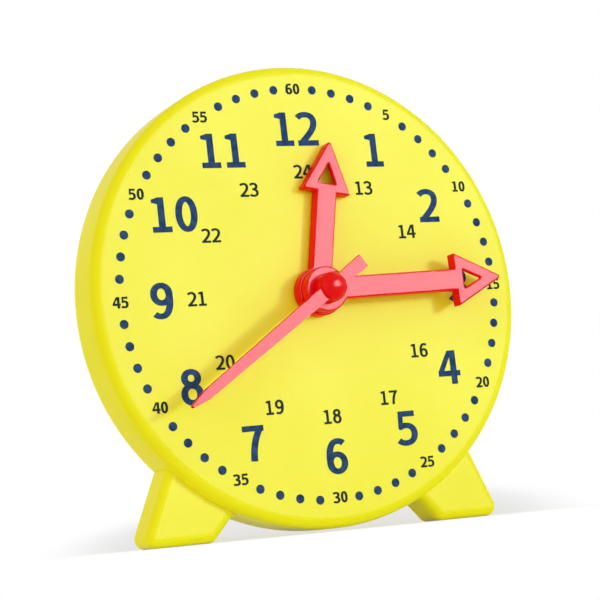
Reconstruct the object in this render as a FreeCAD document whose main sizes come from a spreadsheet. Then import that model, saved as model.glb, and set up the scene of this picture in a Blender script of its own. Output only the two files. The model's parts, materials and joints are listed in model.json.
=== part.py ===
import FreeCAD, Part
import math
import os
import re

import Sketcher
from FreeCAD import Placement, Rotation, Vector

# Geared teaching clock: a round case on two moulded feet, three hands on one axis, and behind
# the dial a motion work that turns the hour hand once for twelve turns of the minute hand.
#
# Every piece is drawn in the dial's own frame: X to the right and Y up as the reader sees the
# dial, Z towards the reader, 0 on the dial's printed face and on the axis of the hands.
# Heights stand in front of the dial, depths lie behind it. A piece's Placement then stands it
# up in the clock's frame: +Z up, the dial facing -Y, the feet on Z = 0.

SIZES = {
    # case
    "case_radius": (50.0, "outside radius of the round case"),
    "case_depth": (11.3, "dial face to the rear edge of the front case"),
    "face_thickness": (1.6, "dial plate"),
    "wall_thickness": (1.8, "round wall of the case"),
    "case_edge_radius": (2.3, "rounded front edge of the case"),
    "ground_clearance": (0.55, "lowest point of the round case above the surface the feet stand on"),
    "running_clearance": (0.06, "radial play of a shaft in its bearing"),
    "end_shake": (0.15, "axial play of a wheel between its shoulders"),
    # feet
    "foot_setback": (3.2, "dial face to the front of the feet"),
    "foot_tuck": (7.4, "side of the case to a foot's outer corner, before rounding"),
    "foot_width": (15.9, "a foot's outer corner to its inner corner, before rounding"),
    "foot_lean": (23.4, "degrees that a foot's outer side leans from upright"),
    "foot_outer_rounding": (2.2, "rounding of a foot's outer corner"),
    "foot_inner_slope": (48.0, "degrees that a foot's inner side rises from level"),
    "foot_inner_rounding": (2.2, "rounding of a foot's inner corner"),
    "foot_blend": (2.6, "hollow rounding between a foot and the case"),
    "blend_bite": (0.1, "how far a hollow rounding or an edge bites into the wall it meets"),
    "foot_edge_radius": (2.0, "rounded front edges of a foot"),
    # back cover
    "cover_clearance": (0.15, "gap round the cover's flange"),
    "flange_seat": (1.0, "width of the ledge in the case that the flange lies on"),
    "flange_thickness": (1.4, "cover flange"),
    "cover_inset": (3.2, "case wall to the side of the cover's raised back"),
    "cover_rise": (4.5, "raised back of the cover, behind the case's rear edge"),
    "cover_thickness": (1.8, "cover wall"),
    "cover_edge_radius": (2.2, "rounded rear edge of the cover"),
    "cover_foot_inset": (2.2, "case foot to the smaller foot on the cover"),
    "cover_foot_edge_radius": (1.0, "rounded rear edges of the cover's feet"),
    # cover screws
    "screw_inset": (6.7, "inside of the case wall to the cover screws"),
    "screw_boss_radius": (2.9, "screw boss in the case"),
    "screw_post_radius": (3.4, "screw post in the cover"),
    "screw_radius": (0.95, "shank of a cover screw"),
    "screw_length": (7.5, "shank of a cover screw"),
    "screw_passage": (1.25, "hole in the cover that the shank passes"),
    "screw_head_radius": (2.2, "head of a cover screw"),
    "screw_head_height": (1.3, "head of a cover screw"),
    "screw_recess_radius": (2.7, "recess in the cover that takes the head"),
    "screw_floor": (2.7, "depth of the recess below the cover's back"),
    "screw_pilot_depth": (8.0, "depth of the pilot hole in a screw boss"),
    "slot_width": (0.6, "cross slot in a screw head"),
    "slot_length": (2.6, "cross slot in a screw head"),
    "slot_depth": (0.7, "cross slot in a screw head"),
    "crown_radius": (0.45, "rounded rim of a screw head"),
    # gears
    "gear_module": (0.6, "pitch diameter divided by the number of teeth"),
    "pressure_angle": (20.0, "degrees"),
    "profile_shift": (0.3, "pinion teeth outwards and wheel teeth inwards, in modules"),
    "backlash": (0.12, "play of a tooth in its space, on the pitch circle"),
    "minute_pinion_teeth": (15, "pinion on the minute arbor"),
    "intermediate_wheel_teeth": (45, "wheel that the minute pinion drives"),
    "intermediate_pinion_teeth": (12, "pinion moulded with the intermediate wheel"),
    "hour_wheel_teeth": (48, "wheel on the hour pipe"),
    "gear_bearing": (90.0, "degrees from the dial's X to the intermediate axle"),
    "wheel_thickness": (2.0, "both wheels"),
    "wheel_gap": (0.5, "hour wheel to intermediate wheel"),
    "pinion_overlap": (0.3, "length by which a pinion passes its wheel on each side"),
    "web_hole_radius": (2.6, "round holes that lighten the wheels"),
    "web_hole_count": (6, "round holes in each wheel"),
    # arbors
    "arbor_radius": (1.8, "minute arbor, a brass tube"),
    "arbor_bore": (0.83, "bore of the minute arbor"),
    "pipe_radius": (2.9, "hour pipe, outside"),
    "hour_boss_radius": (5.6, "boss behind the dial that carries the hour pipe"),
    "hour_boss_height": (1.0, "boss behind the dial that carries the hour pipe"),
    "hour_washer_radius": (4.8, "spring washer on the hour pipe"),
    "hour_washer_thickness": (0.25, "spring washer on the hour pipe"),
    "washer_play": (0.12, "radial play of the washers"),
    "collar_radius": (2.9, "collar behind the minute pinion"),
    "collar_length": (3.1, "collar behind the minute pinion"),
    "cover_bearing_radius": (4.4, "boss in the cover that carries the minute arbor"),
    "axle_radius": (1.0, "intermediate axle, a steel pin"),
    "axle_boss_radius": (2.8, "boss behind the dial that holds the axle"),
    "axle_grip": (0.9, "depth of dial plate left in front of the axle"),
    "axle_hub_radius": (2.6, "hub behind the intermediate wheel"),
    "axle_hub_length": (2.4, "hub behind the intermediate wheel"),
    "clip_radius": (2.2, "spring clip that keeps the intermediate wheel on its axle"),
    "clip_thickness": (0.4, "spring clip on the axle"),
    "socket_depth": (1.8, "hole in the cover that steadies the axle's end"),
    # hands
    "hour_hand_lift": (0.4, "dial face to the back of the hour hand"),
    "hand_gap": (0.2, "gap between one hand and the next"),
    "hand_thickness": (2.6, "hour and minute hands"),
    "hand_edge_radius": (0.4, "rounded front edges of the hands"),
    "hand_point_radius": (0.5, "rounded points of the arrowheads"),
    "hand_corner_radius": (0.25, "rounded rear corners of the arrowheads"),
    "hand_arm_width": (4.7, "arms of the hour and minute hands"),
    "hour_hub_radius": (5.3, "hub of the hour hand"),
    "hour_tip": (33.4, "axis to the hour hand's point, before rounding"),
    "hour_head_length": (11.7, "arrowhead of the hour hand, before rounding"),
    "hour_head_half": (5.7, "half the width of the hour hand's arrowhead"),
    "minute_hub_radius": (4.85, "hub of the minute hand"),
    "minute_margin": (6.4, "minute hand's point to the side of the case, before rounding"),
    "minute_head_length": (11.85, "arrowhead of the minute hand, before rounding"),
    "minute_head_half": (5.9, "half the width of the minute hand's arrowhead"),
    "window_half": (2.1, "half the width of an arrowhead's window"),
    "window_length": (4.5, "arrowhead's window, along the hand"),
    "window_margin": (1.9, "back of an arrowhead to its window"),
    "window_corner_radius": (0.12, "rounded corners of the window"),
    "head_face": (1.0, "arrowhead's face, in front of the hollow in its back"),
    "head_rim": (1.1, "arrowhead's sides, round the hollow in its back"),
    "arbor_cap": (0.5, "minute hand in front of the arbor's end"),
    "pipe_setback": (0.1, "front of the hour hand to the end of the hour pipe"),
    "second_hub_radius": (3.2, "hub and dome of the second hand"),
    "second_hub_height": (1.85, "hub of the second hand, up to the foot of its dome"),
    "second_needle_lift": (2.8, "back of the hub to the front of the needle"),
    "second_thickness": (1.5, "needle of the second hand"),
    "second_root_half": (1.45, "half the needle's width at the hub"),
    "second_shoulder_half": (1.0, "half the needle's width where its point begins"),
    "second_margin": (8.8, "needle's point to the side of the case"),
    "second_point": (3.9, "length of the needle's point"),
    "second_tip_half": (0.25, "half the width of the blunt point"),
    "second_tail": (9.4, "axis to the end of the second hand's tail"),
    "second_tail_half": (1.5, "half the width of the tail's end"),
    "second_neck_half": (1.25, "half the width of the tail at the hub"),
    "second_pin_radius": (0.8, "steel pin of the second hand"),
    "second_pin_depth": (5.0, "how far behind the dial the pin reaches"),
    "second_pin_grip": (1.0, "how far the pin stands in the dome"),
    # knob
    "knob_radius": (11.0, "setting knob"),
    "knob_height": (5.8, "setting knob"),
    "knob_edge_radius": (1.2, "rounded rear edge of the knob"),
    "knob_flutes": (24, "finger grooves round the knob"),
    "knob_flute_radius": (0.75, "finger groove"),
    "knob_relief_radius": (8.8, "hollow in the knob's front"),
    "knob_relief_depth": (2.2, "hollow in the knob's front"),
    "knob_hub_radius": (4.2, "hub inside the knob's hollow"),
    "knob_floor": (1.2, "knob between the arbor's end and the screw head"),
    "knob_screw_sink": (0.3, "knob's back to the top of its screw head"),
    "friction_washer_radius": (6.0, "rubber washer that holds the hands where they are set"),
    "friction_washer_thickness": (0.5, "rubber washer"),
    "friction_washer_play": (0.075, "rubber washer to the cover, before it is pressed on"),
    "knob_screw_length": (5.0, "shank of the knob screw"),
    # rest
    "hour_reading": (9.75, "degrees past twelve of the hour hand"),
    "minute_reading": (88.0, "degrees past twelve of the minute hand"),
    "second_reading": (235.5, "degrees past twelve of the second hand"),
}

# Sizes that follow from the ones above.
FORMULAS = {
    "axis_height": "case_radius + ground_clearance",
    "foot_outer_corner": "case_radius - foot_tuck",
    "foot_inner_corner": "foot_outer_corner - foot_width",
    "screw_circle": "inner_radius - screw_inset",
    "gear_centres": "gear_module * (minute_pinion_teeth + intermediate_wheel_teeth) / 2",
    "inner_radius": "case_radius - wall_thickness",
    "ledge_radius": "inner_radius + flange_seat",
    "ledge_depth": "case_depth - flange_thickness",
    "cover_back": "case_depth + cover_rise",
    "cover_floor": "cover_back - cover_thickness",
    "cover_radius": "case_radius - cover_inset",
    "screw_seat": "cover_back - screw_floor",
    "pipe_bore": "arbor_radius + running_clearance",
    "hour_web_circle": "(pipe_radius + gear_module * hour_wheel_teeth / 2) / 2",
    "driver_radius": "gear_module * (intermediate_pinion_teeth / 2 + 1 + profile_shift)",
    "driven_web_circle": "(driver_radius + gear_module * intermediate_wheel_teeth / 2) / 2",
    "hour_boss_end": "face_thickness + hour_boss_height",
    "hour_wheel_front": "hour_boss_end + end_shake + hour_washer_thickness",
    "hour_wheel_back": "hour_wheel_front + wheel_thickness",
    "intermediate_front": "hour_wheel_front - pinion_overlap",
    "axle_boss_end": "intermediate_front - end_shake",
    "intermediate_wheel_front": "hour_wheel_back + wheel_gap",
    "intermediate_wheel_back": "intermediate_wheel_front + wheel_thickness",
    "axle_hub_end": "intermediate_wheel_back + axle_hub_length",
    "clip_front": "axle_hub_end + end_shake",
    "minute_pinion_front": "intermediate_wheel_front - pinion_overlap",
    "minute_pinion_back": "intermediate_wheel_back + pinion_overlap",
    "collar_end": "minute_pinion_back + collar_length",
    "bearing_end": "collar_end + end_shake",
    "axle_end": "bearing_end + socket_depth - end_shake",
    "hour_hand_front": "hour_hand_lift + hand_thickness",
    "minute_hand_back": "hour_hand_front + hand_gap",
    "minute_hand_front": "minute_hand_back + hand_thickness",
    "arbor_front": "minute_hand_front - arbor_cap",
    "second_hub_back": "minute_hand_front + hand_gap",
    "second_front": "second_hub_back + second_needle_lift",
    "dome_foot": "second_hub_back + second_hub_height",
    "dome_top": "dome_foot + second_hub_radius",
    "minute_tip": "case_radius - minute_margin",
    "second_tip": "case_radius - second_margin",
    "second_shoulder": "second_tip - second_point",
    "washer_front": "cover_back + friction_washer_play",
    "knob_front": "washer_front + friction_washer_thickness",
    "knob_back": "knob_front + knob_height",
    "knob_screw_seat": "knob_back - knob_screw_sink - screw_head_height",
    "arbor_end": "knob_screw_seat - knob_floor",
    "dial_y": "(dome_top - knob_back) / 2",
}

AXLE = {
    "x": "gear_centres * cos(gear_bearing * 1deg)",
    "y": "gear_centres * sin(gear_bearing * 1deg)",
}
FIRST_SCREW = {"x": "screw_circle * cos(45deg)", "y": "screw_circle * sin(45deg)"}

doc = FreeCAD.newDocument("teaching_clock")
sheet = doc.addObject("Spreadsheet::Sheet", "Sizes")
for row, (alias, (number, note)) in enumerate(SIZES.items(), start=1):
    sheet.set(f"A{row}", alias)
    sheet.set(f"B{row}", str(number))
    sheet.setAlias(f"B{row}", alias)
    sheet.set(f"C{row}", note)
doc.recompute()

subparts = []


def bound(formula):
    """A formula in the words above, written out in the sheet's cells."""

    def spell(match):
        word = match.group()
        if word in FORMULAS:
            return f"({bound(FORMULAS[word])})"
        return f"Sizes.{word}" if word in SIZES else word

    return re.sub(r"[a-z_]+", spell, formula)


def value(formula):
    return float(sheet.evalExpression(bound(formula)))


def in_clock(x=0.0, y=0.0, turn=0.0):
    """From the dial's frame, at x and y and turned counter-clockwise, to the clock's frame."""
    upright = Placement(Vector(0, value("dial_y"), value("axis_height")), Rotation(Vector(1, 0, 0), 90))
    return upright * Placement(Vector(x, y, 0), Rotation(Vector(0, 0, 1), turn))


def along(angle, radius):
    """The point at a radius and an angle in degrees in the dial's plane."""
    return Vector(radius * math.cos(math.radians(angle)), radius * math.sin(math.radians(angle)), 0)


# ---------------------------------------------------------------- drawing


def sketch_on(body, name, role, height="0"):
    sketch = body.newObject("Sketcher::SketchObject", name)
    plane = next(feature for feature in body.Origin.OriginFeatures if feature.Role == role)
    sketch.AttachmentSupport = [(plane, "")]
    sketch.MapMode = "FlatFace"
    sketch.setExpression("AttachmentOffset.Base.z", bound(height))
    return sketch


def constrain(sketch, kind, *where, to):
    index = sketch.addConstraint(Sketcher.Constraint(kind, *where, value(to)))
    sketch.setExpression(f"Constraints[{index}]", bound(to))


def draw_circle(sketch, radius, x="0", y="0"):
    centre = Vector(value(x), value(y), 0)
    circle = sketch.addGeometry(Part.Circle(centre, Vector(0, 0, 1), value(radius)), False)
    constrain(sketch, "DistanceX", -1, 1, circle, 3, to=x)
    constrain(sketch, "DistanceY", -1, 1, circle, 3, to=y)
    constrain(sketch, "Radius", circle, to=radius)


def draw_polygon(sketch, corners):
    """A closed outline with each corner held by two formulas."""
    points = [Vector(value(x), value(y), 0) for x, y in corners]
    lines = [
        sketch.addGeometry(Part.LineSegment(point, points[(i + 1) % len(points)]), False)
        for i, point in enumerate(points)
    ]
    for line, following in zip(lines, lines[1:] + lines[:1]):
        sketch.addConstraint(Sketcher.Constraint("Coincident", line, 2, following, 1))
    for line, (x, y) in zip(lines, corners):
        constrain(sketch, "DistanceX", -1, 1, line, 1, to=x)
        constrain(sketch, "DistanceY", -1, 1, line, 1, to=y)


def arc(start, middle, end):
    """The arc through three points, turned counter-clockwise as a sketch wants it."""
    circle = Part.Arc(start, middle, end).toShape().Curve
    centre = circle.Center
    if (middle - start).cross(end - middle).z < 0:
        start, end = end, start
    first = math.atan2(start.y - centre.y, start.x - centre.x)
    last = math.atan2(end.y - centre.y, end.x - centre.x)
    return Part.ArcOfCircle(Part.Circle(centre, Vector(0, 0, 1), circle.Radius), first, last)


def draw_path(sketch, start, *steps):
    """A closed outline: each step is the next point, or (a point on the arc, the arc's end)."""
    here = start
    for step in steps + (start,):
        if isinstance(step, tuple):
            sketch.addGeometry(arc(here, *step), False)
            here = step[1]
        elif (step - here).Length > 1e-6:
            sketch.addGeometry(Part.LineSegment(here, step), False)
            here = step


def rounding(before, corner, after, radius):
    """The rounding of a corner: the point where it starts, and its arc."""
    towards = (before - corner).normalize()
    onwards = (after - corner).normalize()
    half = towards.getAngle(onwards) / 2
    bisector = (towards + onwards).normalize()
    reach = radius / math.tan(half)
    middle = corner + bisector * (radius / math.sin(half) - radius)
    return corner + towards * reach, (middle, corner + onwards * reach)


def draw_rounded(sketch, corners, radii):
    """A closed outline of straight sides with each corner rounded to its radius."""
    steps = []
    for i, radius in enumerate(radii):
        steps.extend(rounding(corners[i - 1], corners[i], corners[(i + 1) % len(corners)], radius))
    draw_path(sketch, *steps)


# ---------------------------------------------------------------- features


def new_body(label, placement=None):
    """A body; one with a placement is a sub-part, and one without is fused into a sub-part."""
    body = doc.addObject("PartDesign::Body", label)
    body.Label = label
    if placement:
        body.Placement = placement
        subparts.append(body)
    return body


def extrude(body, kind, sketch, length, name):
    feature = body.newObject(f"PartDesign::{kind}", name)
    feature.Profile = sketch
    feature.setExpression("Length", bound(length))
    if kind == "Pad":
        feature.Reversed = True
    return feature


def solid(body, name, draw, front, back):
    """An outline made solid from one depth behind the dial to a greater one."""
    sketch = sketch_on(body, f"{name}_outline", "XY_Plane", f"-({front})")
    draw(sketch)
    return extrude(body, "Pad", sketch, f"({back}) - ({front})", name)


def cut(body, name, draw, front, back):
    """The same, taken away."""
    sketch = sketch_on(body, f"{name}_outline", "XY_Plane", f"-({front})")
    draw(sketch)
    return extrude(body, "Pocket", sketch, f"({back}) - ({front})", name)


def disc(body, name, radius, front, back, x="0", y="0"):
    return solid(body, name, lambda sketch: draw_circle(sketch, radius, x, y), front, back)


def bore(body, name, radius, front, back, x="0", y="0"):
    return cut(body, name, lambda sketch: draw_circle(sketch, radius, x, y), front, back)


def revolve(body, name, corners):
    """A section, as radius and height in front of the dial, turned about the axis."""
    sketch = sketch_on(body, f"{name}_section", "XZ_Plane")
    draw_polygon(sketch, corners)
    feature = body.newObject("PartDesign::Revolution", name)
    feature.Profile = sketch
    feature.ReferenceAxis = (sketch, ["V_Axis"])
    feature.Angle = 360
    return feature


def repeat(body, feature, count, name):
    """The feature, repeated in a ring about the axis."""
    pattern = body.newObject("PartDesign::PolarPattern", name)
    pattern.Originals = [feature]
    pattern.Axis = (feature.Profile[0], ["N_Axis"])
    pattern.Angle = 360
    pattern.setExpression("Occurrences", bound(count))
    body.Tip = pattern
    return pattern


def round_edges(body, name, radius, chosen):
    """A fillet on the edges that chosen picks."""
    doc.recompute()
    base = body.Tip
    names = [f"Edge{i}" for i, edge in enumerate(base.Shape.Edges, start=1) if chosen(edge)]
    if not names:
        raise RuntimeError(f"{name} finds no edge to round")
    fillet = body.newObject("PartDesign::Fillet", name)
    fillet.Base = (base, names)
    fillet.setExpression("Radius", bound(radius))
    return fillet


def at_height(edge, height):
    """Whether an edge lies in the plane at a height in front of the dial."""
    box = edge.BoundBox
    return abs(box.ZMin - height) < 1e-4 and abs(box.ZMax - height) < 1e-4


def reaches_beyond(edge, radius):
    """Whether an end of an edge is further from the axis than a radius."""
    return any(math.hypot(point.X, point.Y) > radius for point in edge.Vertexes)


def fuse(label, shapes, placement):
    """Bodies that are one moulding, fused into one sub-part."""
    moulding = doc.addObject("Part::MultiFuse", label)
    moulding.Label = label
    moulding.Shapes = shapes
    moulding.Refine = True
    moulding.Placement = placement
    subparts.append(moulding)
    return moulding


def pin(label, radius, front, back, x=0.0, y=0.0):
    """A plain round pin from one depth behind the dial to a greater one."""
    cylinder = doc.addObject("Part::Cylinder", label)
    cylinder.Label = label
    cylinder.setExpression("Radius", bound(radius))
    cylinder.setExpression("Height", bound(f"({back}) - ({front})"))
    cylinder.Placement = in_clock(x, y) * Placement(Vector(0, 0, -value(back)), Rotation())
    subparts.append(cylinder)
    return cylinder


def washer(label, radius, hole, front, back, x=0.0, y=0.0):
    body = new_body(label, in_clock(x, y))
    disc(body, f"{label}_disc", radius, front, back)
    bore(body, f"{label}_hole", hole, front, back)
    return body


# ---------------------------------------------------------------- case and cover


def foot_outline(side, inset, wall, root):
    """A draw function for a foot, on the right with side 1 and on the left with side -1.

    The outer and inner sides stand back by the inset, and the bottom stays on the ground line.
    The foot grows from a round wall of the radius wall, and its top is buried at the radius root.
    """
    ground = -value("axis_height")
    lean = math.radians(value("foot_lean"))
    slope = math.radians(value("foot_inner_slope"))
    blend = value("foot_blend")

    up_outer = Vector(-math.sin(lean), math.cos(lean), 0)
    outer = Vector(value("foot_outer_corner") - inset / math.cos(lean), ground, 0)
    up_inner = Vector(-math.cos(slope), math.sin(slope), 0)
    inner = Vector(value("foot_inner_corner") + inset / math.sin(slope), ground, 0)

    # The hollow rounding touches the inner side and a circle just inside the wall's outside.
    skin = wall - value("blend_bite")
    away = Vector(-math.sin(slope), -math.cos(slope), 0)
    first = inner + away * blend
    middle = first.dot(up_inner)
    rise = -middle - math.sqrt(middle**2 - first.dot(first) + (skin + blend) ** 2)
    centre = first + up_inner * rise
    leaves_side = inner + up_inner * rise
    meets_wall = centre * (skin / (skin + blend))
    hollow = centre + (leaves_side + meets_wall - centre * 2).normalize() * blend

    crossing = outer.dot(up_outer)
    top = outer + up_outer * (-crossing - math.sqrt(crossing**2 - outer.dot(outer) + root**2))
    buried = meets_wall * (root / skin)
    crown = (top + buried).normalize() * root

    outer_start, outer_arc = rounding(top, outer, inner, value("foot_outer_rounding"))
    inner_start, inner_arc = rounding(outer, inner, leaves_side, value("foot_inner_rounding"))

    def on_side(point):
        return Vector(side * point.x, point.y, 0)

    def draw(sketch):
        path = (outer_start, outer_arc, inner_start, inner_arc, leaves_side, (hollow, meets_wall))
        path = path + (buried, (crown, top))
        draw_path(sketch, *(tuple(map(on_side, p)) if isinstance(p, tuple) else on_side(p) for p in path))

    return draw


def feet(label, inset, wall, root, front, back, rounded_face, edge_radius):
    """Both feet, with the edges of one face rounded apart from those buried in the wall."""
    pair = []
    for word, side in (("right", 1), ("left", -1)):
        body = new_body(f"{label}_{word}")
        outline = foot_outline(side, value(inset), value(wall), value(root))
        solid(body, f"{label}_block_{word}", outline, front, back)
        round_edges(
            body,
            f"{label}_edges_{word}",
            edge_radius,
            lambda edge: at_height(edge, -value(rounded_face)) and reaches_beyond(edge, value(wall)),
        )
        pair.append(body)
    return pair


def front_case():
    """Dial plate, round wall and feet in one moulding, with the bosses behind the dial."""
    shell = new_body("case_shell")
    revolve(
        shell,
        "case_wall",
        [
            ("0", "0"),
            ("case_radius", "0"),
            ("case_radius", "-case_depth"),
            ("ledge_radius", "-case_depth"),
            ("ledge_radius", "-ledge_depth"),
            ("inner_radius", "-ledge_depth"),
            ("inner_radius", "-face_thickness"),
            ("0", "-face_thickness"),
        ],
    )
    almost_case = value("case_radius - blend_bite")
    round_edges(
        shell,
        "case_front_edge",
        "case_edge_radius",
        lambda edge: at_height(edge, 0) and reaches_beyond(edge, almost_case),
    )
    plate = "face_thickness / 2"
    disc(shell, "hour_boss", "hour_boss_radius", plate, "hour_boss_end")
    bore(shell, "hour_bearing", "pipe_radius + running_clearance", "0", "hour_boss_end")
    disc(shell, "axle_boss", "axle_boss_radius", plate, "axle_boss_end", **AXLE)
    bore(shell, "axle_hole", "axle_radius", "axle_grip", "axle_boss_end", **AXLE)

    boss = disc(shell, "screw_boss", "screw_boss_radius", plate, "ledge_depth", **FIRST_SCREW)
    repeat(shell, boss, "4", "screw_bosses")
    pilot_front = "ledge_depth - screw_pilot_depth"
    pilot = bore(shell, "screw_pilot", "screw_radius", pilot_front, "ledge_depth", **FIRST_SCREW)
    repeat(shell, pilot, "4", "screw_pilots")

    case_feet = feet(
        "case_foot",
        "0",
        "case_radius",
        "(case_radius + ledge_radius) / 2",
        "foot_setback",
        "case_depth",
        "foot_setback",
        "foot_edge_radius",
    )
    fuse("front_case", [shell, *case_feet], in_clock())


def back_cover():
    """A shallow dish that closes the case, with small feet of its own behind the case's."""
    dish = new_body("cover_dish")
    revolve(
        dish,
        "cover_wall",
        [
            ("0", "-cover_floor"),
            ("cover_radius - cover_thickness", "-cover_floor"),
            ("cover_radius - cover_thickness", "-ledge_depth"),
            ("ledge_radius - cover_clearance", "-ledge_depth"),
            ("ledge_radius - cover_clearance", "-case_depth"),
            ("cover_radius", "-case_depth"),
            ("cover_radius", "-cover_back"),
            ("0", "-cover_back"),
        ],
    )
    almost_cover = value("cover_radius - blend_bite")
    round_edges(
        dish,
        "cover_rear_edge",
        "cover_edge_radius",
        lambda edge: at_height(edge, -value("cover_back")) and reaches_beyond(edge, almost_cover),
    )
    inside = "cover_floor + cover_thickness / 2"
    disc(dish, "arbor_boss", "cover_bearing_radius", "bearing_end", inside)
    bore(dish, "arbor_bearing", "arbor_radius + running_clearance", "bearing_end", "cover_back")
    disc(dish, "axle_socket_boss", "axle_hub_radius", "bearing_end", inside, **AXLE)
    bore(
        dish,
        "axle_socket",
        "axle_radius + running_clearance",
        "bearing_end",
        "bearing_end + socket_depth",
        **AXLE,
    )
    post = disc(dish, "screw_post", "screw_post_radius", "ledge_depth", inside, **FIRST_SCREW)
    repeat(dish, post, "4", "screw_posts")
    passage = bore(dish, "screw_passage", "screw_passage", "ledge_depth", "cover_back", **FIRST_SCREW)
    repeat(dish, passage, "4", "screw_passages")
    recess = bore(dish, "screw_recess", "screw_recess_radius", "screw_seat", "cover_back", **FIRST_SCREW)
    repeat(dish, recess, "4", "screw_recesses")

    cover_feet = feet(
        "cover_foot",
        "cover_foot_inset",
        "cover_radius",
        "cover_radius - cover_edge_radius - blend_bite",
        "case_depth",
        "cover_back",
        "cover_back",
        "cover_foot_edge_radius",
    )
    fuse("back_cover", [dish, *cover_feet], in_clock())


def screw(label, radius, length, seat, x=0.0, y=0.0):
    """A pan-head screw driven forwards, with its head's underside at the depth of its seat."""
    body = new_body(label, in_clock(x, y))
    disc(body, f"{label}_shank", radius, f"{seat} - {length}", seat)
    disc(body, f"{label}_head", "screw_head_radius", seat, f"{seat} + screw_head_height")
    rear = value(f"{seat} + screw_head_height")
    round_edges(body, f"{label}_crown", "crown_radius", lambda edge: at_height(edge, -rear))
    slots = (("slot", "slot_length", "slot_width"), ("cross", "slot_width", "slot_length"))
    for name, along_x, along_y in slots:
        corners = [
            (f"-{along_x} / 2", f"-{along_y} / 2"),
            (f"{along_x} / 2", f"-{along_y} / 2"),
            (f"{along_x} / 2", f"{along_y} / 2"),
            (f"-{along_x} / 2", f"{along_y} / 2"),
        ]
        cut(
            body,
            f"{label}_{name}",
            lambda sketch: draw_polygon(sketch, corners),
            f"{seat} + screw_head_height - slot_depth",
            f"{seat} + screw_head_height",
        )
    return body


def cover_screws():
    for number, angle in enumerate((45, 135, 225, 315), start=1):
        place = along(angle, value("screw_circle"))
        screw(f"cover_screw_{number}", "screw_radius", "screw_length", "screw_seat", place.x, place.y)


# ---------------------------------------------------------------- gears


def involute(base_radius, radius):
    """The polar angle, in radians, of the involute of a base circle at a radius."""
    roll = math.sqrt(max(radius**2 - base_radius**2, 0)) / base_radius
    return roll - math.atan(roll)


def tooth_space(teeth, shift):
    """A draw function for the space between two teeth, centred on the X axis."""
    module = value("gear_module")
    pitch_radius = module * teeth / 2
    base_radius = pitch_radius * math.cos(math.radians(value("pressure_angle")))
    root_radius = pitch_radius - module * (1.25 - shift)
    outside = pitch_radius + module * (1.3 + shift)
    thicker = 2 * shift * module * math.tan(math.radians(value("pressure_angle")))
    space = (math.pi * module / 2 - thicker + value("backlash") / 2) / pitch_radius
    at_pitch = involute(base_radius, pitch_radius)

    def flank(radius):
        """The point of the upper flank at a radius."""
        angle = space / 2 + involute(base_radius, max(radius, base_radius)) - at_pitch
        return Vector(radius * math.cos(angle), radius * math.sin(angle), 0)

    def below(point):
        return Vector(point.x, -point.y, 0)

    start = max(base_radius, root_radius)
    foot_point, knee, tip = flank(root_radius), flank(start), flank(outside)
    belly = flank((start + outside) / 2)

    def draw(sketch):
        draw_path(
            sketch,
            below(foot_point),
            (Vector(root_radius, 0, 0), foot_point),
            knee,
            (belly, tip),
            below(tip),
            (below(belly), below(knee)),
        )

    return draw


def toothed(body, name, teeth, shift, front, back):
    """A toothed disc between two depths, with a tooth space on the X axis."""
    disc(body, f"{name}_blank", f"gear_module * ({teeth} / 2 + 1 + {shift})", front, back)
    space = cut(body, f"{name}_space", tooth_space(value(teeth), value(shift)), front, back)
    repeat(body, space, teeth, f"{name}_teeth")


def lighten(body, name, circle, front, back):
    """Round holes through a wheel's web."""
    hole = bore(body, f"{name}_web_hole", "web_hole_radius", front, back, x=circle)
    repeat(body, hole, "web_hole_count", f"{name}_web_holes")


def hour_wheel():
    """Wheel and pipe in one moulding; the pipe turns in the case and carries the hour hand."""
    turn = value("gear_bearing - 180 / hour_wheel_teeth")
    body = new_body("hour_wheel", in_clock(turn=turn))
    toothed(body, "hour_wheel", "hour_wheel_teeth", "-profile_shift", "hour_wheel_front", "hour_wheel_back")
    lighten(body, "hour_wheel", "hour_web_circle", "hour_wheel_front", "hour_wheel_back")
    disc(body, "hour_pipe", "pipe_radius", "pipe_setback - hour_hand_front", "hour_wheel_back")
    bore(body, "hour_pipe_bore", "pipe_bore", "pipe_setback - hour_hand_front", "hour_wheel_back")


def intermediate_wheel():
    """Wheel, pinion and hub in one moulding, free on its axle."""
    place = along(value("gear_bearing"), value("gear_centres"))
    body = new_body("intermediate_wheel", in_clock(place.x, place.y, value("gear_bearing + 180")))
    toothed(
        body,
        "driven",
        "intermediate_wheel_teeth",
        "-profile_shift",
        "intermediate_wheel_front",
        "intermediate_wheel_back",
    )
    lighten(body, "driven", "driven_web_circle", "intermediate_wheel_front", "intermediate_wheel_back")
    toothed(
        body,
        "driver",
        "intermediate_pinion_teeth",
        "profile_shift",
        "intermediate_front",
        "intermediate_wheel_front",
    )
    disc(body, "intermediate_hub", "axle_hub_radius", "intermediate_wheel_front", "axle_hub_end")
    bore(body, "intermediate_bore", "axle_radius + running_clearance", "intermediate_front", "axle_hub_end")


def minute_pinion():
    """Pinion and collar in one moulding, pressed on the minute arbor."""
    turn = value("gear_bearing - 180 / minute_pinion_teeth")
    body = new_body("minute_pinion", in_clock(turn=turn))
    front, back = "minute_pinion_front", "minute_pinion_back"
    toothed(body, "pinion", "minute_pinion_teeth", "profile_shift", front, back)
    disc(body, "pinion_collar", "collar_radius", "minute_pinion_front", "collar_end")
    bore(body, "pinion_bore", "arbor_radius", "minute_pinion_front", "collar_end")


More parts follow.
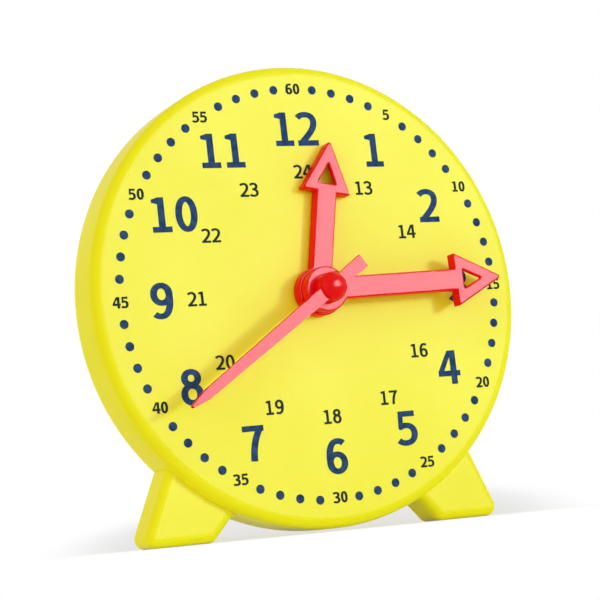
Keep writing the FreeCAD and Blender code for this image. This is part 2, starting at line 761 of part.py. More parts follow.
def arbors():
    """The pins, tubes, washers and clip that carry and part the wheels."""
    washer("minute_arbor", "arbor_radius", "arbor_bore", "-arbor_front", "arbor_end")
    washer(
        "hour_washer",
        "hour_washer_radius",
        "pipe_radius + washer_play",
        "hour_wheel_front - hour_washer_thickness",
        "hour_wheel_front",
    )
    place = along(value("gear_bearing"), value("gear_centres"))
    pin("intermediate_axle", "axle_radius", "axle_grip", "axle_end", place.x, place.y)
    clip_back = "clip_front + clip_thickness"
    washer("axle_clip", "clip_radius", "axle_radius", "clip_front", clip_back, place.x, place.y)
    pin("second_hand_pin", "second_pin_radius", "-second_front - second_pin_grip", "second_pin_depth")


# ---------------------------------------------------------------- hands


def shrunk(corners, rim):
    """A triangle with each of its sides moved inwards by the rim."""
    a, b, c = corners
    sides = [(b - c).Length, (c - a).Length, (a - b).Length]
    centre = (a * sides[0] + b * sides[1] + c * sides[2]) * (1 / sum(sides))
    inscribed = (b - a).cross(c - a).Length / sum(sides)
    return [centre + (corner - centre) * (1 - rim / inscribed) for corner in corners]


def arrow_hand(label, reading, back, hub, tip, head_length, head_half, hole, hole_front):
    """A hand with a round hub, a flat arm and an arrowhead, hollow at the back, drawn at twelve."""
    head_base = f"({tip}) - {head_length}"
    window_base = f"{head_base} + window_margin"
    body = new_body(label, in_clock(turn=-value(reading)))
    front = f"-({back} + hand_thickness)"
    rear = f"-({back})"
    half = "hand_arm_width / 2"
    disc(body, f"{label}_hub", hub, front, rear)
    arm = [(f"-{half}", "0"), (half, "0"), (half, window_base), (f"-{half}", window_base)]
    solid(body, f"{label}_arm", lambda sketch: draw_polygon(sketch, arm), front, rear)

    def triangle(base, half_width, point):
        ends = ((-value(half_width), value(base)), (value(half_width), value(base)), (0, value(point)))
        return [Vector(x, y, 0) for x, y in ends]

    head = triangle(head_base, head_half, tip)
    head_radii = [value(f"hand_{place}_radius") for place in ("corner", "corner", "point")]
    solid(body, f"{label}_head", lambda sketch: draw_rounded(sketch, head, head_radii), front, rear)
    hollow = shrunk(head, value("head_rim"))
    hollow_radii = [value("hand_corner_radius")] * len(hollow)
    cut(
        body,
        f"{label}_hollow",
        lambda sketch: draw_rounded(sketch, hollow, hollow_radii),
        f"head_face - ({back} + hand_thickness)",
        rear,
    )
    window = triangle(window_base, "window_half", f"{window_base} + window_length")
    window_radii = [value("window_corner_radius")] * len(window)
    cut(body, f"{label}_window", lambda sketch: draw_rounded(sketch, window, window_radii), front, rear)
    round_edges(body, f"{label}_edges", "hand_edge_radius", lambda edge: at_height(edge, -value(front)))
    bore(body, f"{label}_bore", hole, f"-({hole_front})", rear)
    return body


def hands():
    arrow_hand(
        "hour_hand",
        "hour_reading",
        "hour_hand_lift",
        "hour_hub_radius",
        "hour_tip",
        "hour_head_length",
        "hour_head_half",
        "pipe_radius",
        "hour_hand_front",
    )
    minute = arrow_hand(
        "minute_hand",
        "minute_reading",
        "minute_hand_back",
        "minute_hub_radius",
        "minute_tip",
        "minute_head_length",
        "minute_head_half",
        "arbor_radius",
        "arbor_front",
    )
    bore(minute, "pin_passage", "second_pin_radius + washer_play", "-minute_hand_front", "-minute_hand_back")
    second_hand()


def second_hand():
    """Needle, tail, hub and dome in one moulding, drawn at twelve and pressed on its pin."""
    body = new_body("second_hand", in_clock(turn=-value("second_reading")))
    dome_section = sketch_on(body, "dome_section", "XZ_Plane")
    radius, back, foot = value("second_hub_radius"), value("second_hub_back"), value("dome_foot")
    shoulder = Vector(radius * math.cos(math.pi / 4), foot + radius * math.sin(math.pi / 4), 0)
    crown = Vector(0, foot + radius, 0)
    side = (Vector(radius, back, 0), Vector(radius, foot, 0))
    draw_path(dome_section, Vector(0, back, 0), *side, (shoulder, crown))
    dome = body.newObject("PartDesign::Revolution", "second_dome")
    dome.Profile = dome_section
    dome.ReferenceAxis = (dome_section, ["V_Axis"])
    dome.Angle = 360
    needle = [
        ("-second_root_half", "0"),
        ("-second_neck_half", "0"),
        ("-second_tail_half", "-second_tail"),
        ("second_tail_half", "-second_tail"),
        ("second_neck_half", "0"),
        ("second_root_half", "0"),
        ("second_shoulder_half", "second_shoulder"),
        ("second_tip_half", "second_tip"),
        ("-second_tip_half", "second_tip"),
        ("-second_shoulder_half", "second_shoulder"),
    ]
    solid(
        body,
        "second_needle",
        lambda sketch: draw_polygon(sketch, needle),
        "-second_front",
        "second_thickness - second_front",
    )
    bore(body, "second_bore", "second_pin_radius", "-second_front - second_pin_grip", "-second_hub_back")


# ---------------------------------------------------------------- knob


def setting_knob():
    """Fluted knob behind the cover, pressed on the minute arbor and held by a screw."""
    body = new_body("setting_knob", in_clock())
    disc(body, "knob_blank", "knob_radius", "knob_front", "knob_back")
    rear = -value("knob_back")
    round_edges(body, "knob_rear_edge", "knob_edge_radius", lambda edge: at_height(edge, rear))
    flute = bore(body, "knob_flute", "knob_flute_radius", "knob_front", "knob_back", x="knob_radius")
    repeat(body, flute, "knob_flutes", "knob_flutes")

    def relief(sketch):
        draw_circle(sketch, "knob_relief_radius")
        draw_circle(sketch, "knob_hub_radius")

    cut(body, "knob_relief", relief, "knob_front", "knob_front + knob_relief_depth")
    bore(body, "knob_bore", "arbor_radius", "knob_front", "arbor_end")
    bore(body, "knob_screw_passage", "arbor_bore + washer_play", "arbor_end", "knob_screw_seat")
    bore(body, "knob_screw_recess", "screw_recess_radius", "knob_screw_seat", "knob_back")
    screw("knob_screw", "arbor_bore", "knob_screw_length", "knob_screw_seat")
    washer(
        "friction_washer",
        "friction_washer_radius",
        "arbor_radius + washer_play",
        "washer_front",
        "washer_front + friction_washer_thickness",
    )


# ---------------------------------------------------------------- assembly


def check_and_write():
    doc.recompute()
    for thing in doc.Objects:
        faults = [word for word in thing.State if word in ("Invalid", "Error")]
        if faults:
            raise RuntimeError(f"{thing.Label}: {', '.join(faults)}")
    os.makedirs("parts", exist_ok=True)
    for piece in subparts:
        shape = piece.Shape
        if shape.isNull() or not shape.isValid() or len(shape.Solids) != 1:
            raise RuntimeError(f"{piece.Label}: its shape isn't one valid solid")
        shape.exportStep(os.path.join("parts", f"{piece.Label}.step"))
        print(f"{piece.Label}: {shape.Volume:.1f} mm3")


front_case()
back_cover()
cover_screws()
hour_wheel()
intermediate_wheel()
minute_pinion()
arbors()
hands()
setting_knob()
check_and_write()
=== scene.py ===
import json
import math

import bmesh
import bpy
from mathutils import Matrix, Vector


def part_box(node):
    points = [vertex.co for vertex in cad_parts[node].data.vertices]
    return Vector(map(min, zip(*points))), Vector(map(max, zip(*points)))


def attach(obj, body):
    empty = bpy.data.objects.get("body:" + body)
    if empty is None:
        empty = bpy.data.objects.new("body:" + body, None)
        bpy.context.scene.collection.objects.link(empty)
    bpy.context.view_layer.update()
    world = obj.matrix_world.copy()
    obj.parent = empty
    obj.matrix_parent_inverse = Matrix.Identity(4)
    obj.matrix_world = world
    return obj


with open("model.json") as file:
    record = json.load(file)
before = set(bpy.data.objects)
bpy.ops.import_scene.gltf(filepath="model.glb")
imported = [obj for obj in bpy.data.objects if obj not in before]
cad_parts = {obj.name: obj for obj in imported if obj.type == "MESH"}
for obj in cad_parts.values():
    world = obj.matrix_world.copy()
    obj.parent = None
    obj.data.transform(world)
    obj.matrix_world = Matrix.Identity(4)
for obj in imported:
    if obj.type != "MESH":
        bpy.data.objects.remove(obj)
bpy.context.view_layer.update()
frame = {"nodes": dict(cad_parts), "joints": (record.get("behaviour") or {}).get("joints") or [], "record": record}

# The dressed look of the geared teaching clock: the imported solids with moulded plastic, steel,
# brass and rubber, and the dial's printed numbers and dots. Lengths are in metres, in the
# clock's frame: +X to the reader's right, +Y from the dial towards the back, +Z up.

MM = 0.001
JOINTS = {joint["name"]: joint for joint in frame["joints"]}
AXIS = Vector(JOINTS["minute_turn"]["pos_m"])
DIAL_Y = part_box("front_case")[0].y

# Print
PRINT_TURN = -1.0  # degrees past twelve by which the print and the hands are turned on the feet
PRINT_SHIFT = Vector((0.13 * MM, 0, 0.31 * MM))  # the print's centre from the hands' axis
MINUTE_RING = 44.35 * MM
DOT_RADIUS = 0.95 * MM
DOT_SIDES = 40
HOUR_RING = 35.4 * MM
DAY_RING = 26.7 * MM
DAY_RING_SHIFT = Vector((0.6 * MM, 0, -0.8 * MM))  # the 24-hour ring is printed off centre
MINUTE_HEIGHT = 2.35 * MM
HOUR_HEIGHT = 7.4 * MM
DAY_HEIGHT = 3.0 * MM
MINUTE_WEIGHT = 1.2  # how much bolder than the day ring's numbers
HOUR_WEIGHT = 1.05
DAY_WEIGHT = 1.0
INK_THICKNESS = 0.03 * MM
INK_LAYER = 0.002 * MM

# Each ring's numbers from one o'clock on, with where the print sets each off its even place, in mm
MINUTE_NUMBERS = {
    5: (0.09, 0.17),
    10: (0.17, -0.18),
    15: (0.06, -0.46),
    20: (0.13, 0),
    25: (-0.06, 0),
    30: (0.17, 0.4),
    35: (0.03, 0.25),
    40: (0.23, 0.13),
    45: (-0.02, -0.15),
    50: (-0.17, -0.05),
    55: (-0.41, -0.11),
    60: (-0.05, 0.06),
}
HOUR_NUMBERS = {
    1: (0.43, -0.06),
    2: (-0.43, 0.13),
    3: (0.02, -0.28),
    4: (-0.29, -0.7),
    5: (0.41, -0.14),
    6: (0.43, 0.07),
    7: (-0.56, -0.37),
    8: (-0.14, -0.71),
    9: (0.08, -0.26),
    10: (-0.06, -0.05),
    11: (-0.42, 0.33),
    12: (-0.41, 0.11),
}
DAY_NUMBERS = {
    13: (0.54, -0.12),
    14: (0.21, -0.34),
    15: (0.3, 1),
    16: (-0.32, -0.03),
    17: (0.62, 0.01),
    18: (-0.16, 0.6),
    19: (0, 0),
    20: (-0.29, 0.38),
    21: (-1.45, 0.55),
    22: (-0.35, 0.38),
    23: (-0.22, 0.11),
    24: (-0.45, 0.23),
}

# Digits, as shares of their height
DIGIT_CELL = 0.76
DIGIT_SIDE = 0.045
STEM = 0.195  # the pen's width across
BAR = 0.155  # its width up and down
OVERSHOOT = 0.012  # how far round strokes reach past straight ones
OVAL = 0.58  # curve handles of an oval, as shares of its half size
CURVE_STEPS = 10

# The range that most of a noise texture's values fill
NOISE_LOW = 0.3
NOISE_HIGH = 0.7

# Setting
FLOOR_REACH = 2.0
# Soft patches of the floor: middle, half size, and the shares of that where the fade starts and ends
# The pool below is a painted shadow: an even grey patch of the floor, shown to the camera, that stands in for the
# clock's shadow
PAINTED_SHADOW_POOL = ((-0.003, 0.075, 0), (0.062, 0.08, 1), 0.72, 1.14)  # an even grey, mostly behind the clock
FLOOR_CONTACT = ((0, 0.02, 0), (0.075, 0.085, 1), 0.4, 1)  # where the lamps' own shadow shows
SWEEP_START = 0.03  # the floor's paper rises a little behind the clock
SWEEP_END = 0.25
SWEEP_HEIGHT = 0.02
SWEEP_STEPS = 24
FLOOR_VEIL = 0.65  # share of the floor's look by the clock that is even, without the lamps' shadow
# The grey of the painted shadow pool
PAINTED_SHADOW_GREY = 0.81
AMBIENT = 0.6
AMBIENT_COLOUR = (1.09, 1, 0.9, 1)

# Camera: its place from the middle of the print, turned round the hands' axis with the print
CAMERA_PLACE = Vector((-172.99 * MM, -339.82 * MM, -46.57 * MM))
CAMERA_AZIMUTH = -26.44
CAMERA_TILT = 6.75  # degrees by which it looks upwards
CAMERA_ROLL = -6.547
CAMERA_LENS = 108.0


# ---------------------------------------------------------------- materials


def linear(red, green, blue):
    """A screen colour of 0 to 255 as the linear colour that a shader takes."""

    def channel(value):
        value = value / 255
        return value / 12.92 if value <= 0.04045 else ((value + 0.055) / 1.055) ** 2.4

    return (channel(red), channel(green), channel(blue), 1.0)


class Shader:
    """A material with a Principled shader, and short ways to add nodes to it."""

    def __init__(self, name):
        self.material = bpy.data.materials.new(name)
        self.material.use_nodes = True
        self.tree = self.material.node_tree
        self.surface = self.tree.nodes["Principled BSDF"]
        self.place = self.tree.nodes.new("ShaderNodeTexCoord").outputs["Object"]

    def set(self, **sockets):
        for name, value in sockets.items():
            self.surface.inputs[name.replace("_", " ")].default_value = value

    def noise(self, scale, detail=2.0, stretch=None):
        """Noise in the clock's frame, with scale in features per metre."""
        node = self.tree.nodes.new("ShaderNodeTexNoise")
        node.inputs["Scale"].default_value = scale
        node.inputs["Detail"].default_value = detail
        place = self.place
        if stretch:
            mapping = self.tree.nodes.new("ShaderNodeMapping")
            mapping.inputs["Scale"].default_value = stretch
            self.tree.links.new(place, mapping.inputs["Vector"])
            place = mapping.outputs["Vector"]
        self.tree.links.new(place, node.inputs["Vector"])
        return node.outputs["Fac"]

    def between(self, factor, low, high):
        """A number that follows the noise from low to high."""
        node = self.tree.nodes.new("ShaderNodeMapRange")
        node.inputs["From Min"].default_value = NOISE_LOW
        node.inputs["From Max"].default_value = NOISE_HIGH
        node.inputs["To Min"].default_value = low
        node.inputs["To Max"].default_value = high
        self.tree.links.new(factor, node.inputs["Value"])
        return node.outputs["Result"]

    def blend(self, factor, first, second):
        """A colour that follows the factor from the first to the second."""
        node = self.tree.nodes.new("ShaderNodeMix")
        node.data_type = "RGBA"
        node.inputs["A"].default_value = first
        node.inputs["B"].default_value = second
        self.tree.links.new(factor, node.inputs["Factor"])
        return node.outputs["Result"]

    def bump(self, height, distance, strength=1.0, under=None):
        node = self.tree.nodes.new("ShaderNodeBump")
        node.inputs["Strength"].default_value = strength
        node.inputs["Distance"].default_value = distance
        self.tree.links.new(height, node.inputs["Height"])
        if under:
            self.tree.links.new(under, node.inputs["Normal"])
        return node.outputs["Normal"]

    def feed(self, name, output):
        self.tree.links.new(output, self.surface.inputs[name])

    def colour_between(self, factor, colour, shade):
        """Mottles the surface between two screen colours."""
        mottle = self.between(factor, 0, 1)
        self.feed("Base Color", self.blend(mottle, linear(*colour), linear(*shade)))


def moulded(name, colour, shade, roughness, specular, grain, glow=(0.08, 0.6)):
    """Injection-moulded plastic: faint flow marks in its colour and a fine skin texture.

    The glow is the share of the light that spreads under its skin, and how far in millimetres."""
    shader = Shader(name)
    clouds = shader.noise(45, detail=3)
    skin = shader.noise(2600, detail=2)
    waves = shader.noise(260, detail=1)
    shader.colour_between(clouds, colour, shade)
    shader.feed("Roughness", shader.between(clouds, roughness * 0.85, roughness * 1.15))
    swell = shader.bump(waves, 0.02 * MM, 0.35)
    shader.feed("Normal", shader.bump(skin, grain, 0.5, under=swell))
    share, depth = glow
    shader.set(Specular_IOR_Level=specular, Subsurface_Weight=share)
    shader.set(Subsurface_Scale=depth * MM, Subsurface_Radius=linear(*colour)[:3])
    return shader.material


def metal(name, colour, shade, roughness, stretch):
    """Drawn or turned metal, with fine lines along its stretch."""
    shader = Shader(name)
    lines = shader.noise(900, detail=4, stretch=stretch)
    shader.colour_between(lines, colour, shade)
    shader.feed("Roughness", shader.between(lines, roughness * 0.75, roughness * 1.3))
    shader.feed("Normal", shader.bump(lines, 0.01 * MM, 0.3))
    shader.set(Metallic=1.0)
    return shader.material


def rubber():
    shader = Shader("black_rubber")
    grain = shader.noise(3200, detail=3)
    shader.colour_between(grain, (28, 28, 30), (44, 44, 46))
    shader.feed("Roughness", shader.between(grain, 0.6, 0.8))
    shader.feed("Normal", shader.bump(grain, 0.03 * MM, 0.4))
    return shader.material


def ink(name, colour, shade):
    """Pad-printed ink: nearly even, a little thinner in places."""
    shader = Shader(name)
    cover = shader.noise(700, detail=4)
    shader.colour_between(cover, colour, shade)
    shader.feed("Roughness", shader.between(cover, 0.34, 0.46))
    shader.set(Specular_IOR_Level=0.0)
    return shader.material


def dress_solids():
    """Gives every CAD node the material of the slot that the record names for it."""
    yellow = moulded(
        "yellow_plastic", (251, 243, 31), (248, 238, 23), roughness=0.34, specular=0.048, grain=0.005 * MM
    )
    red = moulded(
        "red_plastic", (243, 6, 14), (236, 4, 10), roughness=0.18, specular=0.1, grain=0.003 * MM,
        glow=(0.3, 0.5),
    )
    white = moulded(
        "gear_plastic", (236, 235, 228), (226, 225, 216), roughness=0.42, specular=0.45, grain=0.006 * MM
    )
    steel = metal("plated_steel", (196, 198, 202), (168, 170, 175), roughness=0.28, stretch=(1, 30, 1))
    brass = metal("brass", (214, 178, 98), (190, 150, 74), roughness=0.24, stretch=(30, 1, 30))
    by_slot = {
        "yellow_case": yellow,
        "red_moulding": red,
        "white_gear": white,
        "steel": steel,
        "brass_tube": brass,
        "black_rubber": rubber(),
    }
    for part in frame["record"]["subparts"]:
        mesh = frame["nodes"][part["node"]].data
        mesh.materials.clear()
        mesh.materials.append(by_slot[part["material_slot"]])


# ---------------------------------------------------------------- print


def bezier(start, *segments):
    """Points along cubic curves: each segment is its two handles and its end."""
    points = [Vector(start)]
    for first, second, end in segments:
        corners = [points[-1], Vector(first), Vector(second), Vector(end)]
        for i in range(1, CURVE_STEPS + 1):
            t = i / CURVE_STEPS
            weights = ((1 - t) ** 3, 3 * t * (1 - t) ** 2, 3 * t * t * (1 - t), t**3)
            points.append(sum((c * w for c, w in zip(corners, weights)), Vector((0, 0))))
    return points


def loop(x, y, half_width, half_height):
    """A closed oval with slightly flattened sides, as points."""
    dx, dy = half_width * OVAL, half_height * OVAL
    right, top = (x + half_width, y), (x, y + half_height)
    left, bottom = (x - half_width, y), (x, y - half_height)
    return bezier(
        right,
        ((right[0], y + dy), (x + dx, top[1]), top),
        ((x - dx, top[1]), (left[0], y + dy), left),
        ((left[0], y - dy), (x - dx, bottom[1]), bottom),
        ((x + dx, bottom[1]), (right[0], y - dy), right),
    )[:-1]


def box(left, low, right, high):
    return [(left, low), (right, low), (right, high), (left, high)]


def turned(shape):
    """A digit's strokes turned half round, which makes a nine of a six."""
    return [(kind, [Vector((DIGIT_CELL - x, 1 - y)) for x, y in points]) for kind, points in shape]


def digit_shapes(stem, bar):
    """Each digit as strokes and flat areas, in a cell DIGIT_CELL wide and 1 high."""
    low, high = bar / 2 - OVERSHOOT, 1 - bar / 2 + OVERSHOOT
    left, right = DIGIT_SIDE + stem / 2, DIGIT_CELL - DIGIT_SIDE - stem / 2
    middle = DIGIT_CELL / 2
    six = [
        ("stroke", bezier(
            (0.625, 0.86),
            ((0.57, 0.91), (0.51, high), (0.44, high)),
            ((0.24, high), (left + 0.005, 0.72), (left + 0.005, 0.44)),
            ((left + 0.005, 0.2), (0.23, low), (0.385, low)),
        )),
        ("loop", loop(0.385, 0.313, 0.232, 0.313 - low)),
    ]
    return {
        "0": [("loop", loop(middle, 0.5, middle - left, 0.5 - low))],
        "1": [
            ("area", box(0.28, 0.05, 0.28 + stem, 1)),
            ("area", box(0.088, 0, 0.672, bar)),
            ("area", [(0.11, 0.845), (0.29, 0.805), (0.34, 0.84), (0.34, 1), (0.31, 1), (0.11, 0.94)]),
        ],
        "2": [
            ("stroke", bezier(
                (0.09, 0.835),
                ((0.16, 0.9), (0.24, high), (0.335, high)),
                ((0.5, high), (0.605, 0.85), (0.605, 0.695)),
                ((0.605, 0.51), (0.42, 0.33), (0.145, 0.075)),
            )),
            ("area", box(DIGIT_SIDE, 0, DIGIT_CELL - DIGIT_SIDE, bar)),
        ],
        "3": [
            ("stroke", bezier(
                (0.085, 0.845),
                ((0.16, 0.9), (0.23, high), (0.32, high)),
                ((0.48, high), (0.575, 0.86), (0.575, 0.745)),
                ((0.575, 0.61), (0.45, 0.535), (0.25, 0.535)),
            )),
            ("stroke", bezier(
                (0.25, 0.53),
                ((0.48, 0.53), (right, 0.44), (right, 0.285)),
                ((right, 0.14), (0.49, low), (0.31, low)),
                ((0.21, low), (0.13, 0.1), (0.065, 0.165)),
            )),
        ],
        "4": [
            ("area", [
                (0.01, 0.25), (0.2, 0.25), (0.2, 0.38), (0.5, 0.93), (0.5, 1), (0.365, 1), (0.01, 0.38),
            ]),
            ("area", box(0.01, 0.24, 0.755, 0.24 + bar)),
            ("area", box(0.432, 0, 0.432 + stem, 1)),
        ],
        "5": [
            ("area", box(0.12, 1 - bar, 0.66, 1)),
            ("area", [(0.095, 0.49), (0.17, 0.45), (0.255, 0.54), (0.275, 0.95), (0.12, 0.95)]),
            ("stroke", bezier(
                (0.14, 0.52),
                ((0.2, 0.56), (0.26, 0.582), (0.33, 0.582)),
                ((0.5, 0.582), (right, 0.49), (right, 0.335)),
                ((right, 0.17), (0.49, low), (0.31, low)),
                ((0.22, low), (0.14, 0.1), (0.075, 0.16)),
            )),
        ],
        "6": six,
        "7": [
            ("area", box(DIGIT_SIDE, 1 - bar, 0.71, 1)),
            ("stroke", bezier((0.61, 0.93), ((0.46, 0.72), (0.345, 0.45), (0.335, 0)))),
        ],
        "8": [
            ("loop", loop(middle, 0.752, 0.2, high - 0.752)),
            ("loop", loop(middle, 0.306, 0.236, 0.306 - low)),
        ],
        "9": turned(six),
    }


def slab(form, near, far, closed, top):
    """A closed strip between two rows of points, from its top down into the dial."""
    near_top, near_low, far_top, far_low = [
        [form.verts.new((point.x, point.y, z)) for point in side]
        for side in (near, far)
        for z in (top, -INK_THICKNESS)
    ]
    count = len(near)
    for i in range(count if closed else count - 1):
        j = (i + 1) % count
        form.faces.new((near_top[i], near_top[j], far_top[j], far_top[i]))
        form.faces.new((near_low[i], near_low[j], near_top[j], near_top[i]))
        form.faces.new((far_top[i], far_top[j], far_low[j], far_low[i]))
        form.faces.new((near_low[j], near_low[i], far_low[i], far_low[j]))
    if not closed:
        for i in (0, -1):
            form.faces.new((near_top[i], far_top[i], far_low[i], near_low[i]))


def inked_stroke(form, points, closed, top, pen):
    """A stroke of a broad pen, as wide as its stem across and its bar up and down."""
    stem, bar = pen
    count = len(points)
    near, far = [], []
    for i, point in enumerate(points):
        before = points[i - 1] if closed or i else point
        after = points[(i + 1) % count] if closed or i < count - 1 else point
        run = (after - before).normalized()
        side = Vector((-run.y * stem / 2, run.x * bar / 2))
        near.append(point + side)
        far.append(point - side)
    slab(form, near, far, closed, top)


def inked_area(form, points, top):
    """A closed flat area with straight sides, from its top down into the dial."""
    upper = [form.verts.new((x, y, top)) for x, y in points]
    lower = [form.verts.new((x, y, -INK_THICKNESS)) for x, y in points]
    form.faces.new(upper)
    form.faces.new(reversed(lower))
    for i in range(len(points)):
        form.faces.new((upper[i - 1], lower[i - 1], lower[i], upper[i]))


def draw_number(text, height, weight):
    """A number in ink, flat in the XY plane and centred. Each stroke lies a hair above the last."""
    form = bmesh.new()
    pen = (STEM * weight, BAR * weight)
    shapes = digit_shapes(*pen)
    for column, character in enumerate(text):
        for layer, (kind, points) in enumerate(shapes[character]):
            first = len(form.verts)
            top = INK_THICKNESS + layer * INK_LAYER
            if kind == "area":
                inked_area(form, points, top)
            else:
                inked_stroke(form, points, kind == "loop", top, pen)
            form.verts.ensure_lookup_table()
            for vertex in form.verts[first:]:
                vertex.co.x += column * DIGIT_CELL
    middle = DIGIT_CELL * len(text) / 2
    for vertex in form.verts:
        vertex.co.x = (vertex.co.x - middle) * height
        vertex.co.y = (vertex.co.y - 0.5) * height
    bmesh.ops.recalc_face_normals(form, faces=form.faces)
    mesh = bpy.data.meshes.new(f"number_{text}")
    form.to_mesh(mesh)
    form.free()
    return mesh


def print_frame():
    """The frame of the dial's print: its origin on the hands' axis, turned with the print."""
    axis = Vector((AXIS.x, DIAL_Y, AXIS.z))
    return Matrix.Translation(axis) @ Matrix.Rotation(math.radians(PRINT_TURN), 4, "Y")


def on_dial(centre, angle, radius, nudge=(0, 0)):
    """Places a flat mesh on the dial, upright in the print, at an angle past twelve and a radius."""
    x = centre.x + radius * math.sin(math.radians(angle)) + nudge[0] * MM
    z = centre.z + radius * math.cos(math.radians(angle)) + nudge[1] * MM
    return print_frame() @ Matrix.Translation((x, 0, z)) @ Matrix.Rotation(math.radians(90), 4, "X")


def finish_piece(name, form, material):
    """Makes a printed piece of a form: it rides on the case."""
    mesh = bpy.data.meshes.new(name)
    form.to_mesh(mesh)
    form.free()
    mesh.materials.append(material)
    piece = bpy.data.objects.new(name, mesh)
    bpy.context.collection.objects.link(piece)
    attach(piece, "case")


def ring_of_numbers(name, numbers, centre, size, material):
    """A ring of upright numbers, one every 30 degrees from one o'clock on, each with its nudge."""
    radius, height, weight = size
    form = bmesh.new()
    for place, (number, nudge) in enumerate(numbers.items(), start=1):
        mesh = draw_number(str(number), height, weight)
        mesh.transform(on_dial(centre, 30 * place, radius, nudge))
        form.from_mesh(mesh)
        bpy.data.meshes.remove(mesh)
    finish_piece(name, form, material)


def minute_dots(centre, material):
    """A round dot at every minute that has no number."""
    form = bmesh.new()
    for minute in range(60):
        if minute % 5 == 0:
            continue
        place = on_dial(centre, 6 * minute, MINUTE_RING)
        bmesh.ops.create_cone(
            form,
            cap_ends=True,
            segments=DOT_SIDES,
            radius1=DOT_RADIUS,
            radius2=DOT_RADIUS,
            depth=2 * INK_THICKNESS,
            matrix=place,
        )
    finish_piece("minute_dots", form, material)


def print_dial():
    blue = ink("blue_ink", (30, 58, 98), (60, 88, 128))
    slate = ink("slate_ink", (40, 52, 50), (48, 62, 60))
    minute_dots(PRINT_SHIFT, blue)
    day_centre = PRINT_SHIFT + DAY_RING_SHIFT
    minute_size = (MINUTE_RING, MINUTE_HEIGHT, MINUTE_WEIGHT)
    hour_size = (HOUR_RING, HOUR_HEIGHT, HOUR_WEIGHT)
    day_size = (DAY_RING, DAY_HEIGHT, DAY_WEIGHT)
    ring_of_numbers("minute_numbers", MINUTE_NUMBERS, PRINT_SHIFT, minute_size, slate)
    ring_of_numbers("hour_numbers", HOUR_NUMBERS, PRINT_SHIFT, hour_size, blue)
    ring_of_numbers("day_numbers", DAY_NUMBERS, day_centre, day_size, slate)


# ---------------------------------------------------------------- setting


def towards(azimuth, elevation):
    """The direction from the clock: azimuth 0 in front of the dial, 90 on the reader's right."""
    a, e = math.radians(azimuth), math.radians(elevation)
    return Vector((math.sin(a) * math.cos(e), -math.cos(a) * math.cos(e), math.sin(e)))


def softbox(name, azimuth, elevation, size, radiance, colour=(1, 1, 1), distance=1.0):
    """A round light that faces the middle of the clock's hands."""
    lamp = bpy.data.lights.new(name, "AREA")
    lamp.shape = "DISK"
    lamp.size = size
    lamp.energy = radiance * math.pi * math.pi * (size / 2) ** 2
    lamp.color = colour
    light = bpy.data.objects.new(name, lamp)
    direction = towards(azimuth, elevation)
    light.location = AXIS + direction * distance
    light.rotation_mode = "QUATERNION"
    light.rotation_quaternion = direction.to_track_quat("Z", "Y")
    bpy.context.collection.objects.link(light)
    return light


def lights():
    """Soft lamps: the key gives the shadows and no glare, and the sheen gives the glare alone."""
    key = softbox("key", 33, 8, size=0.115, radiance=79.0, colour=(0.68, 1, 1.22))
    key.visible_glossy = False
    sheen = softbox("sheen", 21, 9, size=1.05, radiance=30.0, colour=(0.97, 0.98, 1.12))
    sheen.visible_diffuse = False
    softbox("front_fill", -10, 5, size=0.45, radiance=1.4, distance=1.1)
    softbox("left_fill", -80, 15, size=0.65, radiance=1.4, colour=(0.85, 1, 0.9))
    back_fill = softbox("back_fill", 185, 6, size=0.6, radiance=1.6)
    back_fill.visible_glossy = False


def seen_directly(tree):
    """1 for rays from the camera, from a mirror or through glass, and 0 for the light itself."""
    path = tree.nodes.new("ShaderNodeLightPath")
    seen = path.outputs["Is Camera Ray"]
    for name in ("Is Glossy Ray", "Is Transmission Ray"):
        either = tree.nodes.new("ShaderNodeMath")
        either.operation = "MAXIMUM"
        tree.links.new(seen, either.inputs[0])
        tree.links.new(path.outputs[name], either.inputs[1])
        seen = either.outputs[0]
    return seen


def faded_patch(shader, centre, half_size, fade_start, fade_end):
    """0 in a round patch of the floor and 1 outside it, with a soft edge."""
    patch = shader.tree.nodes.new("ShaderNodeMapping")
    patch.inputs["Location"].default_value = [-at / half for at, half in zip(centre, half_size)]
    patch.inputs["Scale"].default_value = [1 / half for half in half_size]
    shader.tree.links.new(shader.place, patch.inputs["Vector"])
    distance = shader.tree.nodes.new("ShaderNodeVectorMath")
    distance.operation = "LENGTH"
    shader.tree.links.new(patch.outputs["Vector"], distance.inputs[0])
    fade = shader.tree.nodes.new("ShaderNodeMapRange")
    fade.interpolation_type = "SMOOTHSTEP"
    fade.inputs["From Min"].default_value = fade_start
    fade.inputs["From Max"].default_value = fade_end
    shader.tree.links.new(distance.outputs["Value"], fade.inputs["Value"])
    return fade.outputs["Result"]


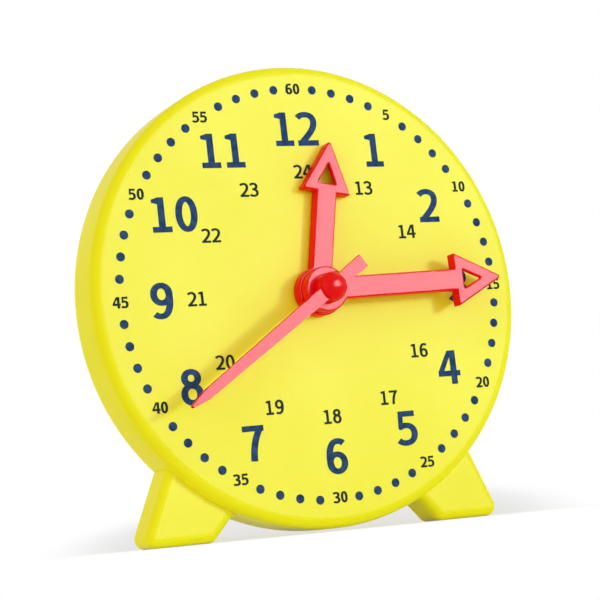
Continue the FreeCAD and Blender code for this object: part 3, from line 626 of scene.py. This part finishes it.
def floor_material():
    """White paper with a soft painted shadow pool of even grey, the lamps' real shadow of the clock, and quite
    white further away.
    """
    shader = Shader("pale_floor_painted_shadow")
    tree = shader.tree
    haze = shader.noise(3, detail=2)
    shader.feed("Base Color", shader.blend(haze, linear(252, 252, 252), linear(248, 248, 248)))
    shader.set(Roughness=0.9, Specular_IOR_Level=0)

    even_share = tree.nodes.new("ShaderNodeMapRange")
    even_share.inputs["To Min"].default_value = FLOOR_VEIL
    tree.links.new(faded_patch(shader, *FLOOR_CONTACT), even_share.inputs["Value"])
    even_when_seen = tree.nodes.new("ShaderNodeMath")
    even_when_seen.operation = "MULTIPLY"
    tree.links.new(seen_directly(tree), even_when_seen.inputs[0])
    tree.links.new(even_share.outputs["Result"], even_when_seen.inputs[1])
    # The emission shown to the camera is a painted shadow: grey in the pool, fading to white outside it
    grey = (PAINTED_SHADOW_GREY, PAINTED_SHADOW_GREY, PAINTED_SHADOW_GREY, 1)
    even = tree.nodes.new("ShaderNodeEmission")
    tree.links.new(shader.blend(faded_patch(shader, *PAINTED_SHADOW_POOL), grey, (1, 1, 1, 1)), even.inputs["Color"])
    whole = tree.nodes.new("ShaderNodeMixShader")
    tree.links.new(even_when_seen.outputs[0], whole.inputs[0])
    tree.links.new(shader.surface.outputs[0], whole.inputs[1])
    tree.links.new(even.outputs[0], whole.inputs[2])
    tree.links.new(whole.outputs[0], tree.nodes["Material Output"].inputs["Surface"])
    return shader.material


def backdrop():
    """A pale paper floor that rises a little at the back, and a world that is white to the camera."""
    form = bmesh.new()
    sweep = [SWEEP_START + (SWEEP_END - SWEEP_START) * i / SWEEP_STEPS for i in range(SWEEP_STEPS + 1)]
    sheet = []
    for y in (-FLOOR_REACH, *sweep, FLOOR_REACH):
        share = min(max((y - SWEEP_START) / (SWEEP_END - SWEEP_START), 0), 1)
        z = SWEEP_HEIGHT * share * share * (3 - 2 * share)
        sheet.append([form.verts.new((x, y, z)) for x in (-FLOOR_REACH, FLOOR_REACH)])
    for (a, b), (c, d) in zip(sheet, sheet[1:]):
        form.faces.new((a, b, d, c)).smooth = True
    floor_mesh = bpy.data.meshes.new("floor")
    form.to_mesh(floor_mesh)
    form.free()
    floor = bpy.data.objects.new("floor", floor_mesh)
    floor.rotation_euler.z = math.radians(CAMERA_AZIMUTH)
    bpy.context.collection.objects.link(floor)
    floor_mesh.materials.append(floor_material())

    world = bpy.data.worlds.new("studio")
    world.use_nodes = True
    tree = world.node_tree
    tree.nodes.clear()
    ambient = tree.nodes.new("ShaderNodeBackground")
    ambient.inputs["Color"].default_value = AMBIENT_COLOUR
    ambient.inputs["Strength"].default_value = AMBIENT
    white = tree.nodes.new("ShaderNodeBackground")
    white.inputs["Color"].default_value = (1, 1, 1, 1)
    white.inputs["Strength"].default_value = 1.0
    both = tree.nodes.new("ShaderNodeMixShader")
    tree.links.new(seen_directly(tree), both.inputs[0])
    tree.links.new(ambient.outputs[0], both.inputs[1])
    tree.links.new(white.outputs[0], both.inputs[2])
    output = tree.nodes.new("ShaderNodeOutputWorld")
    tree.links.new(both.outputs[0], output.inputs["Surface"])
    bpy.context.scene.world = world
    bpy.context.scene.view_settings.view_transform = "Standard"


def camera():
    lens = bpy.data.cameras.new("camera")
    lens.lens = CAMERA_LENS
    lens.sensor_width = 36
    lens.clip_start = 0.01
    eye = bpy.data.objects.new("camera", lens)
    forward = -towards(CAMERA_AZIMUTH, -CAMERA_TILT)
    level = forward.to_track_quat("-Z", "Y")
    roll = Matrix.Rotation(math.radians(CAMERA_ROLL), 4, "Z")
    stand = Matrix.Translation(PRINT_SHIFT + CAMERA_PLACE)
    eye.matrix_world = print_frame() @ stand @ level.to_matrix().to_4x4() @ roll
    bpy.context.collection.objects.link(eye)
    bpy.context.scene.camera = eye


dress_solids()
print_dial()
lights()
backdrop()
camera()
